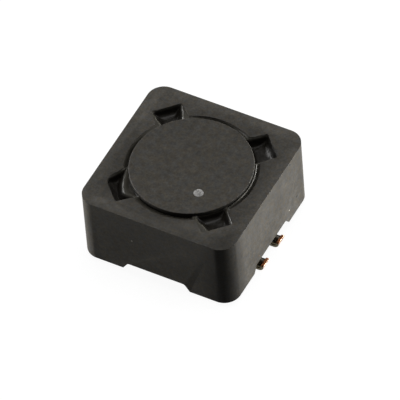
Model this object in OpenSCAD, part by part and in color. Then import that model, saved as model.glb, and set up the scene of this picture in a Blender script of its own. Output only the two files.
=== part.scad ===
// Shielded surface-mount power inductor with two windings and four terminals.
// A ferrite drum carries two copper windings, stands on a moulded base and sits
// inside a square ferrite shield. The origin is the middle of the seating plane,
// under the terminals; X runs through the two rows of terminals, +Z is up.

/* [Shield] */
// Width of the square shield across its flat sides
shield_w = 12.5; // [11.5:0.1:14]
// Height of the shield from its feet to its top face
shield_h = 5.94; // [5.4:0.1:9]
// Radius of the shield's four upright corners
corner_r = 1.28; // [0.6:0.1:2]
// Thinnest wall between the round bore and a flat side
wall_t = 1.25; // [1.1:0.05:1.5]
// Depth of each glue pocket from the bore to its end wall
pocket_depth = 1.2; // [0.9:0.05:1.5]
// Width of each glue pocket at its end wall
pocket_w = 2.4; // [2:0.1:2.6]
// How much wider each glue pocket is where it meets the bore
pocket_flare = 0.06; // [0:0.02:0.3]
// Height of the notch in the lower edge of each side
notch_h = 0.62; // [0.55:0.05:1.2]
// Width of the notch along its flat ceiling
notch_w = 4.65; // [4.5:0.1:6]
// Sideways run of the sloped end of the notch
notch_slope = 0.42; // [0.2:0.05:0.8]
// Height of the shield's feet above the seating plane
foot_lift = 0.35; // [0.2:0.05:0.6]

/* [Drum] */
// Width of the ring gap between the drum and the bore
ring_gap = 0.4; // [0.32:0.02:0.5]
// Depth of the winding well from the flange edges to the post
well_depth = 2.1; // [1.8:0.1:2.6]
// Thickness of the upper flange
upper_flange_t = 1.0; // [0.7:0.1:1.4]
// Thickness of the lower flange
lower_flange_t = 0.9; // [0.7:0.1:1.2]
// Height of the drum's top face above the shield's top face
drum_rise = 0.2; // [0:0.01:0.4]
// Chamfer around the flange edges
rim_chamfer = 0.05; // [0.02:0.01:0.2]

/* [Base] */
// Height of the base's underside above the seating plane
base_standoff = 0.1; // [0.05:0.01:0.18]
// Height of the base's upper face above the seating plane
base_top = 0.85; // [0.75:0.05:1]
// Height of the upper face of the base's arms above the seating plane
arm_top = 0.4; // [0.36:0.01:0.46]
// Width of each arm of the base
arm_w = 4.3; // [4.1:0.1:4.4]
// Distance from the end of each arm to the start of the terminals' curl
arm_gap = 0.62; // [0.5:0.02:0.9]

/* [Terminals] */
// Width of each terminal strip
strip_w = 0.95; // [0.6:0.05:1.1]
// Thickness of each terminal strip
strip_t = 0.22; // [0.15:0.01:0.26]
// Distance between the two terminals of a row
pitch = 2.42; // [2:0.02:2.5]
// How far each row of terminals is set to one side
row_shift = 0.34; // [0:0.02:0.4]
// How far the terminals stand out from the shield's side
strip_out = 0.57; // [0.2:0.01:0.7]
// Outer radius of the upward curl of each terminal
curl_r = 0.48; // [0.35:0.01:0.5]
// Height of the sheared tip of each terminal above the seating plane
tip_h = 0.64; // [0.52:0.02:0.8]
// Distance from the middle to the leg that holds each strip in the base
leg_x = 3.4; // [3:0.1:3.8]

/* [Windings] */
// Diameter of the enamelled wire
wire_d = 0.4; // [0.25:0.01:0.45]
// Space between neighbouring wires
wire_gap = 0.03; // [0.02:0.01:0.1]

/* [Glue, solder and marking] */
// Depth of the glue's upper edge in each pocket below the shield's top face
glue_depth = 0.1; // [0.04:0.02:0.3]
// Depth to which the glue runs down each pocket below the shield's top face
glue_bottom = 2.6; // [1.5:0.1:3.5]
// Radius of the hollow in the upper surface of the glue
bowl_r = 1.05; // [0.9:0.05:1.15]
// Depth of the pocket that the glue bead stands in, below the shield's top face
bead_well = 0.8; // [0.5:0.05:1.2]
// Depth of the glue in the ring gap below the shield's top face
gap_glue_depth = 0.22; // [0.1:0.02:0.6]
// Diameter of the dot that marks terminal one
dot_d = 0.74; // [0.5:0.02:1.2]
// Thickness of the ink of the dot
dot_t = 0.03; // [0.02:0.01:0.06]
// Distance of the dot from the middle along X
dot_x = 1.68; // [0.5:0.01:2.4]
// Distance of the dot from the middle along Y, towards -Y
dot_y = 2.1; // [0.5:0.01:2.4]

/* [Hidden] */

$fn = 96;
seat = 0.01;             // bond line between two pieces that are glued or pressed
slot_fit = 0.06;         // play of the wire in its slot
run_fit = 0.08;          // play between a lead and the wall of the bore
overcut = 1;             // how far a cutter runs past what it cuts
lip_l = 0.4;             // length of the rounded lip at the mouth of a glue pocket
lip_turn = 3.6;          // angle that the rounded lip takes from the bore
pocket_round = 0.15;     // rounding in the corners of a glue pocket
worn_pocket = 2;         // the pocket whose lower side is worn wider than the others
worn_flare = 0.4;        // how much wider that side is where it meets the bore
worn_round = 0.6;        // rounding in the corner of that side
pocket_root = 0.5;       // how far a pocket's outline starts inside the bore
notch_top_round = 0.12;  // rounding between a notch's ceiling and its sloped ends
notch_foot_round = 0.18; // rounding between a notch's sloped ends and the feet
bend_steps = 4;          // straight steps in a rounded corner

shield_top = foot_lift + shield_h;
drum_top = shield_top + drum_rise;
bore_r = shield_w / 2 - wall_t;
drum_r = bore_r - ring_gap;
post_r = drum_r - well_depth;
pocket_reach = bore_r + pocket_depth;
strip_reach = shield_w / 2 + strip_out;
well_low = base_top + lower_flange_t;
well_high = drum_top - upper_flange_t;
strip_inner_r = curl_r - strip_t;

// Terminals in order, each as [side, place along the row]; the rows match when
// the part is turned half round.
row = [-pitch / 2 - row_shift, pitch / 2 - row_shift];
pins = [[1, row[0]], [1, row[1]], [-1, row[0]], [-1, row[1]]];

// Wire: it drops through slots at lead_x, crosses the arm and ends in the curl.
wire_r = wire_d / 2;
far_row = max(abs(row[0]), abs(row[1]));
lead_x = sqrt(pow(bore_r - run_fit - wire_r, 2) - pow(far_row, 2));
over_arm_z = arm_top + wire_r + seat;
in_curl_z = strip_t + wire_r + seat;
curl_start_x = strip_reach - curl_r;
arm_reach = curl_start_x - arm_gap;
wire_bend = 0.26;        // rounding of the bends in a lead
arm_clear = 0.12;        // how far past the end of the arm a lead turns down
curl_clear = 0.1;        // how far before the curl a lead lies flat again
wire_tail = 0.05;        // how far a lead runs into the curl
wire_end_x = curl_start_x + wire_tail;

// Points of a corner at b between a and c, rounded by a curve that leaves the
// sides at the given distances from b.
function toward(b, a, l) = b + (a - b) * (l / norm(a - b));
function corner(a, b, c, la, lc) =
    let (p = toward(b, a, la), q = toward(b, c, lc))
    [for (i = [0 : bend_steps]) let (s = i / bend_steps)
        (1 - s) * (1 - s) * p + 2 * s * (1 - s) * b + s * s * q];
function polar(r, angle) = [r * cos(angle), r * sin(angle)];
function mirrored(points) = [for (i = [len(points) - 1 : -1 : 0]) [points[i][0], -points[i][1]]];

// ---- Shield ----

// Half of a glue pocket's outline on +X, from the bore to its end wall, at the
// given distance inside the walls.
function mouth_turn(flare) = asin((pocket_w / 2 + flare) / bore_r);
function pocket_half(flare, round_r, inset) =
    let (mouth = polar(bore_r, mouth_turn(flare)) - [0, inset],
         on_bore = polar(bore_r, mouth_turn(flare) + lip_turn) - [0, inset],
         far = [pocket_reach - inset, pocket_w / 2 - inset])
    concat([on_bore - [pocket_root, 0]],
           corner(on_bore, mouth, far, norm(on_bore - mouth), lip_l),
           corner(mouth, far, [far[0], 0], round_r, round_r));

// The worn pocket keeps the plain outline on its upper side.
module pocket_outline(k, inset = 0) {
    upper = pocket_half(pocket_flare, pocket_round, inset);
    lower = k == worn_pocket ? pocket_half(worn_flare, worn_round, inset) : upper;
    polygon(concat(upper, mirrored(lower)));
}

module rounded_square(w, r) {
    square([w, w - 2 * r], center = true);
    square([w - 2 * r, w], center = true);
    for (sx = [-1, 1], sy = [-1, 1])
        translate([sx * (w / 2 - r), sy * (w / 2 - r)]) circle(r);
}

module shield_plan() {
    difference() {
        rounded_square(shield_w, corner_r);
        circle(bore_r);
        for (k = [0 : 3]) rotate(45 + 90 * k) pocket_outline(k);
    }
}

// Side view of a notch, with its ceiling above the feet and rounded ends.
function notch_half() =
    let (top = [notch_w / 2, notch_h],
         foot = [notch_w / 2 + notch_slope, 0],
         inner = [0, notch_h],
         outer = [notch_w / 2 + notch_slope + overcut, 0])
    concat(corner(inner, top, foot, notch_top_round, notch_top_round),
           corner(top, foot, outer, notch_foot_round, notch_foot_round),
           [outer, outer - [0, overcut]]);

module notch_cut() {
    half = notch_half();
    flipped = [for (i = [len(half) - 1 : -1 : 0]) [-half[i][0], half[i][1]]];
    rotate([90, 0, 0])
        linear_extrude(shield_w + 2 * overcut, center = true)
            polygon(concat(half, flipped));
}

module shield_core() {
    color("dimgray") translate([0, 0, foot_lift]) difference() {
        linear_extrude(shield_h) shield_plan();
        notch_cut();
        rotate(90) notch_cut();
    }
}

// ---- Drum ----

// A wire slot in the rim of the lower flange and the base, open outwards.
module lead_slots(low, high) {
    for (pin = pins)
        rotate(pin[0] > 0 ? 0 : 180)
            translate([lead_x, pin[1], low]) {
                cylinder(r = wire_r + slot_fit, h = high - low);
                translate([0, -wire_r - slot_fit, 0])
                    cube([bore_r, wire_d + 2 * slot_fit, high - low]);
            }
}

module flange_profile(low, high) {
    c = rim_chamfer;
    polygon([[0, low], [drum_r - c, low], [drum_r, low + c],
             [drum_r, high - c], [drum_r - c, high], [0, high]]);
}

module drum_core() {
    color("dimgray") difference() {
        rotate_extrude() {
            flange_profile(base_top, well_low);
            flange_profile(well_high, drum_top);
            translate([0, base_top]) square([post_r, drum_top - base_top]);
        }
        lead_slots(base_top - overcut, well_low + overcut);
    }
}

// ---- Base ----

module base_plate() {
    groove_w = strip_w + 2 * seat;
    color("#2b2a28") difference() {
        union() {
            translate([0, 0, base_standoff])
                cylinder(r = drum_r, h = base_top - base_standoff);
            translate([-arm_reach, -arm_w / 2, base_standoff])
                cube([2 * arm_reach, arm_w, arm_top - base_standoff]);
        }
        lead_slots(arm_top, base_top + overcut);
        for (pin = pins)
            rotate(pin[0] > 0 ? 0 : 180) {
                translate([leg_x - seat, pin[1] - groove_w / 2, base_standoff - overcut])
                    cube([bore_r, groove_w, strip_t + overcut - base_standoff]);
                translate([leg_x - seat, pin[1] - groove_w / 2, base_standoff])
                    cube([strip_t + 2 * seat, groove_w, tip_h - base_standoff + seat]);
            }
    }
}

// ---- Terminals ----

// Side view of a strip: a leg in the base, a flat run and an upward curl.
module strip_profile() {
    translate([leg_x, 0]) square([strip_t, tip_h]);
    translate([leg_x, 0]) square([curl_start_x - leg_x, strip_t]);
    translate([curl_start_x, curl_r]) intersection() {
        difference() {
            circle(curl_r);
            circle(strip_inner_r);
        }
        translate([0, -curl_r]) square([curl_r, curl_r]);
    }
    translate([strip_reach - strip_t, curl_r]) square([strip_t, tip_h - curl_r]);
}

// Places a side view, given in X and Z, as a slab of width w on terminal k.
module on_pin(k, w) {
    rotate(pins[k][0] > 0 ? 0 : 180)
        translate([0, pins[k][1] + w / 2, 0])
            rotate([90, 0, 0])
                linear_extrude(w) children();
}

module terminal(k) {
    color("#8d8a78") on_pin(k, strip_w) strip_profile();
}

// ---- Solder ----

solder_back = 0.3;       // how far the solder reaches back from the curl
solder_fall = 0.06;      // how far it stays below the tip of the terminal
solder_side = 0.05;      // bare strip on each side of it
solder_dip_r = 0.26;     // half height and half length of the hollow on top
solder_dip_l = 0.36;

// Side view of the solder in the curl, with a hollow upper surface.
module solder_profile() {
    left_x = curl_start_x - solder_back;
    right_x = strip_reach - strip_t - seat;
    low = strip_t + seat;
    high = tip_h - solder_fall;
    difference() {
        union() {
            translate([left_x, low]) square([solder_back, high - low]);
            translate([curl_start_x, curl_r]) intersection() {
                circle(strip_inner_r - seat);
                translate([0, -curl_r]) square([curl_r, curl_r]);
            }
            translate([curl_start_x, curl_r])
                square([right_x - curl_start_x, high - curl_r]);
        }
        translate([left_x, tip_h]) scale([solder_dip_l / solder_dip_r, 1]) circle(solder_dip_r);
    }
}

module solder(k) {
    color("#a3a08e") difference() {
        on_pin(k, strip_w - 2 * solder_side) solder_profile();
        rotate(pins[k][0] > 0 ? 0 : 180)
            translate([curl_start_x - overcut, pins[k][1], in_curl_z])
                rotate([0, 90, 0])
                    cylinder(r = wire_r + seat, h = overcut + wire_tail + seat);
    }
}

// ---- Windings ----

// Each wire lies in an even number of layers. It comes in straight from its slot,
// rises on the post, and at each end of the well it steps out to the next layer. The
// second wire is the first turned half round, so the two lie side by side.
layers = 2 * floor(well_depth / (wire_d + wire_gap) / 2);
turn_segs = 18;          // straight steps in one turn
tube_sides = 8;
step_turn = 1 / 6;       // part of a turn in which the wire steps out a layer
wind_low = well_low + wire_r + seat;
wind_high = well_high - wire_r - seat;
step_slack = 1 / cos(180 / turn_segs);   // keeps the straight steps clear of the post
function layer_r(k) = (post_r + seat + wire_r) * step_slack + k * (wire_d + wire_gap);

in_y = row[0];
out_y = -row[1];
in_angle = atan2(in_y, lead_x) + acos(layer_r(0) / norm([lead_x, in_y]));
out_r = norm([lead_x, out_y]);
out_angle = 180 - atan2(out_y, lead_x) - acos(layer_r(layers - 1) / out_r);
part_turn = (out_angle - in_angle) / 360 - floor((out_angle - in_angle) / 360);

// Turns in the full first layer; the later ones are half a turn shorter, so that
// the incoming wires have room under them.
lost_turns = (layers - 1) * (0.5 - step_turn);
most_turns = (wind_high - wind_low) / (2 * (wire_d + wire_gap));
whole_turns = floor(layers * most_turns - lost_turns - part_turn);
first_turns = (whole_turns + part_turn + lost_turns) / layers;
later_turns = first_turns - 0.5;
turn_rise = (wind_high - wind_low) / first_turns;
total_turns = whole_turns + part_turn;

// Radius and height of the wire after t turns.
function layer_start(k) = k == 0 ? 0 : first_turns + (k - 1) * later_turns + k * step_turn;
function layer_of(t) = len([for (k = [1 : layers - 1]) if (t >= layer_start(k) - step_turn) k]);
function wire_r_at(t) =
    let (k = layer_of(t), into = t - layer_start(k))
    layer_r(k) - (into < 0 ? -into / step_turn * (wire_d + wire_gap) : 0);
function wire_z_at(t) =
    let (k = layer_of(t), into = max(0, t - layer_start(k)))
    k == 0 ? wind_low + into * turn_rise
    : k % 2 == 1 ? wind_high - into * turn_rise
    : wind_high - (later_turns - into) * turn_rise;
function on_winding(t) =
    let (p = polar(wire_r_at(t), in_angle + 360 * t))
    [p[0], p[1], wire_z_at(t)];

// A lead on +X at height z where it meets the winding, from its cut end inwards.
function lead_corners(y, z) = [
    [wire_end_x, y, in_curl_z],
    [curl_start_x - curl_clear, y, in_curl_z],
    [arm_reach + arm_clear, y, over_arm_z],
    [lead_x, y, over_arm_z],
    [lead_x, y, z]
];
function half_round(points) = [for (p = points) [-p[0], -p[1], p[2]]];
function reversed(points) = [for (i = [len(points) - 1 : -1 : 0]) points[i]];
function bent(points) = concat(
    [points[0]],
    [for (i = [1 : len(points) - 2])
        let (room = min(norm(points[i] - points[i - 1]), norm(points[i] - points[i + 1])) / 2,
             l = min(wire_bend, room))
        each corner(points[i - 1], points[i], points[i + 1], l, l)],
    [points[len(points) - 1]]);

turn_points = [for (i = [0 : ceil(total_turns * turn_segs)])
    on_winding(min(total_turns, i / turn_segs))];
last_turn = len(turn_points) - 1;
wire_path = concat(
    bent(concat(lead_corners(in_y, wind_low), [turn_points[0]])),
    [for (i = [1 : last_turn - 1]) turn_points[i]],
    bent(concat([turn_points[last_turn]],
        half_round(reversed(lead_corners(-out_y, turn_points[last_turn][2]))))));

// Sweep of a round tube along a path, without twist.
function unit(v) = v / norm(v);
function headings(path) = let (n = len(path))
    [for (i = [0 : n - 1]) unit(path[min(i + 1, n - 1)] - path[max(i - 1, 0)])];
function square_to(v, heading) = unit(v - (v * heading) * heading);
function sides(ways) =
    [for (i = 0, s = square_to([0, 0.1, 1], ways[0]); i < len(ways);
          i = i + 1, s = i < len(ways) ? square_to(s, ways[i]) : s) s];

module tube(path, r) {
    n = len(path);
    ways = headings(path);
    across = sides(ways);
    rings = [for (i = [0 : n - 1]) let (v = cross(ways[i], across[i]))
        for (j = [0 : tube_sides - 1]) let (a = 360 * j / tube_sides)
            path[i] + r * (cos(a) * across[i] + sin(a) * v)];
    walls = [for (i = [0 : n - 2], j = [0 : tube_sides - 1])
        let (a = i * tube_sides + j, b = i * tube_sides + (j + 1) % tube_sides)
        each [[a, b + tube_sides, b], [a, a + tube_sides, b + tube_sides]]];
    first = [for (j = [0 : tube_sides - 1]) j];
    last = [for (j = [tube_sides - 1 : -1 : 0]) (n - 1) * tube_sides + j];
    polyhedron(rings, concat(walls, [first, last]));
}

module winding_a() {
    color("#9c5a32") tube(wire_path, wire_r);
}

module winding_b() {
    color("#9c5a32") rotate(180) tube(wire_path, wire_r);
}

// ---- Glue ----

// Angles that the glue runs along the ring gap before and after each pocket.
glue_angles = [[46, 18], [6, 10], [22, 14], [12, 6]];
bowl_lift = 0.25;        // height of the middle of the hollow above the glue's edge
bead_in = 0.6;           // distance from the drum's edge in to the middle of the glue bead
bead_r = 1.42;           // radius of the bead that leans on the drum in the worn pocket
bead_round = 0.25;       // rounding of its upper edge

glue_low = shield_top - glue_bottom;
glue_edge = shield_top - glue_depth;
gap_top = shield_top - gap_glue_depth;

module ring_piece(from, to) {
    reach = 2 * bore_r;
    translate([0, 0, glue_low]) linear_extrude(gap_top - glue_low) intersection() {
        difference() {
            circle(bore_r - seat);
            circle(drum_r + seat);
        }
        polygon(concat([[0, 0]], [for (i = [0 : 4]) polar(reach, from + (to - from) * i / 4)]));
    }
}

// The glue in pocket k up to the given height, clear of the drum.
module plug(k, high) {
    translate([0, 0, glue_low]) linear_extrude(high - glue_low) difference() {
        pocket_outline(k, seat);
        circle(drum_r + seat);
    }
}

// A round bead of glue with a rounded upper edge.
module bead() {
    translate([drum_r - bead_in, 0, glue_low]) rotate_extrude() {
        square([bead_r, glue_edge - glue_low - bead_round]);
        square([bead_r - bead_round, glue_edge - glue_low]);
        translate([bead_r - bead_round, glue_edge - glue_low - bead_round]) circle(bead_round);
    }
}

module glue(k) {
    worn = k == worn_pocket;
    lower_turn = mouth_turn(worn ? worn_flare : pocket_flare) + lip_turn;
    upper_turn = mouth_turn(pocket_flare) + lip_turn;
    overlap = lip_turn / 2;
    color("#8b8778") rotate(45 + 90 * k) {
        if (worn) {
            plug(k, shield_top - bead_well);
            intersection() {
                plug(k, glue_edge);
                bead();
            }
        } else {
            difference() {
                plug(k, glue_edge);
                translate([(pocket_reach + drum_r) / 2, 0, glue_edge + bowl_lift]) sphere(bowl_r);
            }
        }
        ring_piece(-lower_turn - glue_angles[k][0], overlap - lower_turn);
        ring_piece(upper_turn - overlap, upper_turn + glue_angles[k][1]);
    }
}

// ---- Marking ----

module pin_dot() {
    color("white") translate([dot_x, -dot_y, drum_top]) cylinder(d = dot_d, h = dot_t);
}

shield_core();
drum_core();
base_plate();
terminal(0);  // terminal_1
terminal(1);  // terminal_2
terminal(2);  // terminal_3
terminal(3);  // terminal_4
winding_a();
winding_b();
solder(0);  // solder_1
solder(1);  // solder_2
solder(2);  // solder_3
solder(3);  // solder_4
glue(0);  // glue_1
glue(1);  // glue_2
glue(2);  // glue_3
glue(3);  // glue_4
pin_dot();
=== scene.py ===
# A shielded surface-mount inductor: ground ferrite shield and drum, two copper
# windings, moulded base, tinned terminals, solder and clear glue.
import math

import bmesh
import bpy
from mathutils import Matrix, Vector, noise


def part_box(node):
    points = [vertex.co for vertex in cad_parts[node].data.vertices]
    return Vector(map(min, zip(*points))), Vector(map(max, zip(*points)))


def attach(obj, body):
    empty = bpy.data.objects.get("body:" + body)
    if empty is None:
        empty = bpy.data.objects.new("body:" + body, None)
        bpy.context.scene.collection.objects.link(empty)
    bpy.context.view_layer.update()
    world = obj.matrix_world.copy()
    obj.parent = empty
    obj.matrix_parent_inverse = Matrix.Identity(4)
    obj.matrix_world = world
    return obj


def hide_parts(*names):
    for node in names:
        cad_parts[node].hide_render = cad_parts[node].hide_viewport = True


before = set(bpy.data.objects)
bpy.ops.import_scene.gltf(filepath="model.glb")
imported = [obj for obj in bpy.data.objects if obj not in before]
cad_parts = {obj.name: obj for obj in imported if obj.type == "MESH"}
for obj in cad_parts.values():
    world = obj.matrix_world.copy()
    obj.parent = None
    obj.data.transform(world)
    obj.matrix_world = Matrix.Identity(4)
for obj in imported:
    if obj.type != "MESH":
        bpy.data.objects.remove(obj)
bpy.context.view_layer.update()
mm = 0.001


def boxMm(node):
    # lowest and highest corner of a node of the frame, in millimetres
    low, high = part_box(node)
    return Vector(low) / mm, Vector(high) / mm


shieldLow, shieldHigh = boxMm("shield_core")
drumLow, drumHigh = boxMm("drum_core")
baseLow, baseHigh = boxMm("base_plate")
shieldWidth = shieldHigh.x - shieldLow.x
footZ = shieldLow.z
shieldTop = shieldHigh.z
drumTop = drumHigh.z
drumRadius = drumHigh.x

# Modelling helpers. Pieces are made in millimetres and scaled by toFrame at the end.


def deselectAll():
    if bpy.context.mode != "OBJECT":
        bpy.ops.object.mode_set(mode="OBJECT")
    bpy.ops.object.select_all(action="DESELECT")


def only(piece):
    deselectAll()
    piece.select_set(True)
    bpy.context.view_layer.objects.active = piece


def named(name):
    piece = bpy.context.object
    piece.name = name
    piece.data.name = name
    return piece


def setPlace():
    bpy.ops.object.transform_apply(location=True, rotation=True, scale=True)


def addBlock(name, low, high):
    deselectAll()
    low, high = Vector(low), Vector(high)
    bpy.ops.mesh.primitive_cube_add(size=1, location=(low + high) / 2, scale=high - low)
    setPlace()
    return named(name)


def addSlab(name, cells):
    # a square slab one unit thick with a fine grid on its top and its underside
    deselectAll()
    bpy.ops.mesh.primitive_grid_add(x_subdivisions=cells, y_subdivisions=cells, size=1)
    piece = named(name)
    edit(piece)
    selectAll()
    drawOut(0, 0, -1)
    endEdit()
    return piece


def addRound(name, radius, low, high, sides=128):
    deselectAll()
    bpy.ops.mesh.primitive_cylinder_add(vertices=sides, radius=radius, depth=high - low,
                                        location=(0, 0, (low + high) / 2))
    setPlace()
    return named(name)


def edit(piece):
    only(piece)
    bpy.ops.object.mode_set(mode="EDIT")


def endEdit():
    bpy.ops.object.mode_set(mode="OBJECT")


def selectAll():
    bpy.ops.mesh.select_all(action="SELECT")


def drawOut(x, y, z):
    # extrudes what is selected and moves it
    bpy.ops.mesh.extrude_region_move(TRANSFORM_OT_translate={"value": (x, y, z)})


def choose(kind, test):
    # selects the vertices, edges or faces of the open mesh that pass the test
    bpy.ops.mesh.select_mode(type=kind)
    bpy.ops.mesh.select_all(action="DESELECT")
    data = bpy.context.edit_object.data
    mesh = bmesh.from_edit_mesh(data)
    for part in {"VERT": mesh.verts, "EDGE": mesh.edges, "FACE": mesh.faces}[kind]:
        if test(part):
            part.select_set(True)
    bmesh.update_edit_mesh(data)


def middle(edge):
    return (edge.verts[0].co + edge.verts[1].co) / 2


def along(edge, axis):
    way = edge.verts[1].co - edge.verts[0].co
    return way.length > 1e-6 and abs(way.normalized()[axis]) > 0.999


def faceOutwards():
    selectAll()
    bpy.ops.mesh.normals_make_consistent(inside=False)


def weld(distance=0.001):
    selectAll()
    bpy.ops.mesh.remove_doubles(threshold=distance)
    faceOutwards()


def turned(piece, degrees, move=(0, 0, 0)):
    turn = Matrix.Rotation(math.radians(degrees), 4, "Z")
    piece.data.transform(Matrix.Translation(Vector(move)) @ turn)
    return piece


def copied(piece, name, degrees=0.0, move=(0, 0, 0)):
    twin = piece.copy()
    twin.data = piece.data.copy()
    twin.name = twin.data.name = name
    bpy.context.collection.objects.link(twin)
    return turned(twin, degrees, move)


def cut(piece, tools, operation="DIFFERENCE"):
    for tool in tools:
        only(piece)
        modifier = piece.modifiers.new("cut", "BOOLEAN")
        modifier.operation = operation
        modifier.solver = "EXACT"
        modifier.object = tool
        bpy.ops.object.modifier_apply(modifier=modifier.name)
        bpy.data.objects.remove(tool, do_unlink=True)


def softenEdges(piece, width, segments=3, angle=32):
    # a small round on every sharp edge, so that it catches light as a real one does
    only(piece)
    modifier = piece.modifiers.new("edges", "BEVEL")
    modifier.width = width
    modifier.segments = segments
    modifier.limit_method = "ANGLE"
    modifier.angle_limit = math.radians(angle)
    bpy.ops.object.modifier_apply(modifier=modifier.name)


def rounder(piece, levels):
    only(piece)
    modifier = piece.modifiers.new("rounder", "SUBSURF")
    modifier.levels = modifier.render_levels = levels
    bpy.ops.object.modifier_apply(modifier=modifier.name)
    bpy.ops.object.shade_smooth()


def evenShading(piece, angle=40):
    only(piece)
    bpy.ops.object.shade_smooth_by_angle(angle=math.radians(angle))
    modifier = piece.modifiers.new("flatFaces", "WEIGHTED_NORMAL")
    modifier.keep_sharp = True
    modifier.weight = 100
    bpy.ops.object.modifier_apply(modifier=modifier.name)


def join(pieces):
    deselectAll()
    for piece in pieces:
        piece.select_set(True)
    bpy.context.view_layer.objects.active = pieces[0]
    bpy.ops.object.join()
    return pieces[0]


def standIn(piece, materials, node):
    # gives a piece its finish and lets it stand for a node of the frame
    for material in materials:
        piece.data.materials.append(material)
    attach(piece, "root")
    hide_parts(node)


def toFrame(piece, materials, node):
    # brings a finished piece to the frame's metres first
    edit(piece)
    selectAll()
    bpy.ops.transform.resize(value=(mm, mm, mm), center_override=(0, 0, 0))
    endEdit()
    standIn(piece, materials, node)


def uneven(place, size, seed=0.0):
    # smooth repeatable unevenness between -1 and 1, with lumps about size millimetres across
    return noise.noise(Vector(place) / size + Vector((seed, seed * 1.7, -seed)))


def ease(x):
    x = min(1.0, max(0.0, x))
    return x * x * (3 - 2 * x)


def hexColour(code):
    # an sRGB hex value as linear light
    parts = [int(code[i:i + 2], 16) / 255 for i in (1, 3, 5)]
    return tuple(c / 12.92 if c <= 0.04045 else ((c + 0.055) / 1.055) ** 2.4 for c in parts) + (1.0,)


def grey(level):
    return (level, level, level, 1.0)


def addNode(tree, kind, settings=None, links=None):
    # adds a node with its settings, the stops of its ramp and the links to its inputs
    node = tree.nodes.new(kind)
    for key, value in (settings or {}).items():
        if key == "stops":
            for element, (spot, colour) in zip(node.color_ramp.elements, value):
                element.position = spot
                element.color = colour
        elif isinstance(key, int) or key in node.inputs:
            node.inputs[key].default_value = value
        else:
            setattr(node, key, value)
    for key, source in (links or {}).items():
        tree.links.new(source, node.inputs[key])
    return node


def newMaterial(name):
    material = bpy.data.materials.new(name)
    material.use_nodes = True
    tree = material.node_tree
    tree.nodes.clear()
    shader = addNode(tree, "ShaderNodeBsdfPrincipled")
    addNode(tree, "ShaderNodeOutputMaterial", None, {"Surface": shader.outputs["BSDF"]})
    place = addNode(tree, "ShaderNodeTexCoord").outputs["Object"]
    return material, tree, shader, place


view = {
    # direction to the camera and its roll in degrees, then millimetres
    "azimuth": 31.33, "elevation": 49.19, "roll": -4.846,
    "distance": 545.0, "lens": 671.9, "sensor": 36.0, "across": 0.4425, "up": -0.430,
}


def makeCamera():
    a, e, r = (math.radians(view[k]) for k in ("azimuth", "elevation", "roll"))
    back = Vector((math.sin(a) * math.cos(e), -math.cos(a) * math.cos(e), math.sin(e)))
    right = Vector((math.cos(a), math.sin(a), 0))
    up = back.cross(right)
    rolledRight = math.cos(r) * right + math.sin(r) * up
    rolledUp = -math.sin(r) * right + math.cos(r) * up
    aim = Vector((0, 0, (footZ + shieldTop) / 2))
    aim += view["across"] * rolledRight + view["up"] * rolledUp
    data = bpy.data.cameras.new("camera")
    camera = bpy.data.objects.new("camera", data)
    bpy.context.collection.objects.link(camera)
    data.sensor_width = view["sensor"]
    data.lens = view["lens"]
    data.clip_start, data.clip_end = 0.01, 10.0
    turn = Matrix((rolledRight, rolledUp, back)).transposed().to_4x4()
    camera.matrix_world = Matrix.Translation((aim + view["distance"] * back) * mm) @ turn
    bpy.context.scene.camera = camera


makeCamera()
print("camera placed")

ferriteLook = {
    "tone": "#403e3a", "drumTone": "#3b3935",
    # sizes of the patches and grains in millimetres
    "cloud": 2.8, "mottle": 0.5, "hue": 0.3, "grit": 0.15,
    # painted shade round one upright corner: its middle, its inner and outer reach in
    # millimetres, and how dark it is on upright faces and on the top
    "cornerShade": (5.7, -5.7), "cornerShadeReach": (0.5, 2.2), "cornerShadeSide": 0.60, "cornerShadeTop": 0.40,
    # fainter painted shade round the other corners, where it starts and ends, and painted shade on
    # the drum's side
    "faintShade": 0.15, "faintShadeReach": (4.3, 5.5), "drumSideShade": 0.70,
    # places in millimetres, size and colour of the few larger pits and specks
    "pits": (((6.25, 4.15, 1.75), 0.13, "#1d1b18"), ((6.25, 3.45, 6.0), 0.12, "#22201c"),
             ((-1.8, -6.25, 3.8), 0.09, "#8d8a80"), ((6.25, 2.9, 1.5), 0.07, "#a8a69e")),
}


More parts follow.
